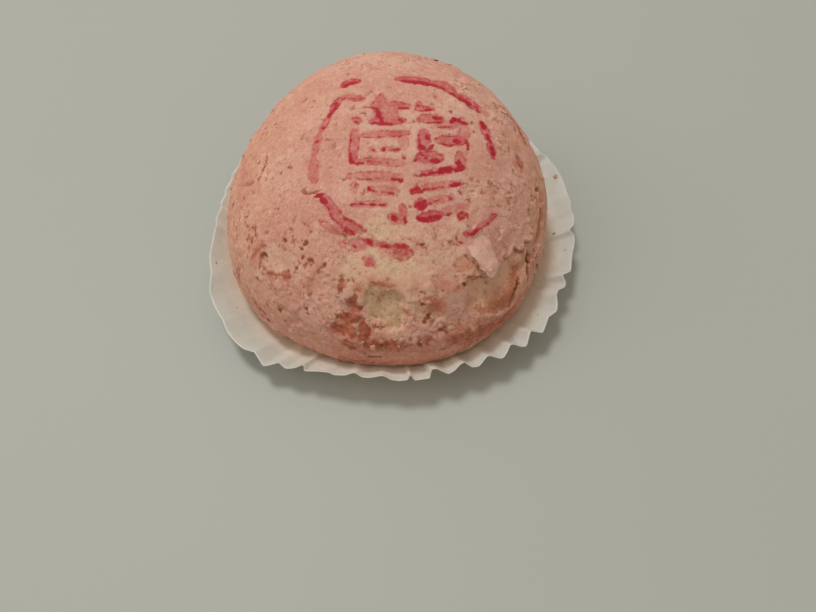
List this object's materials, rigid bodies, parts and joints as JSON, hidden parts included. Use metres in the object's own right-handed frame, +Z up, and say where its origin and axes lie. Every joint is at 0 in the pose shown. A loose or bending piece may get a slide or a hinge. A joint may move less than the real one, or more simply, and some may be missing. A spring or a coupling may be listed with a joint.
{
  "type": "chinese wedding cake in a paper case",
  "caption": "Round domed pastry with a flaky pale pink crust and a red stamped ornament, in a fluted white paper case.",
  "frame": {"origin": "on the table, under the middle of the pastry", "axes": "+Z up, -Y towards the front, where the crust is torn, +X to the right as seen from the front"},
  "size_m": [0.0944, 0.0926, 0.0414],
  "materials": {
    "crust": "dry, soft, flaky baked crust, pale pink, with a red food dye stamp",
    "case_paper": "thin white greaseproof paper, matt, slightly translucent"
  },
  "bodies": {
    "root": {"pastry": "crust", "paper_case": "case_paper"}
  },
  "joints": []
}
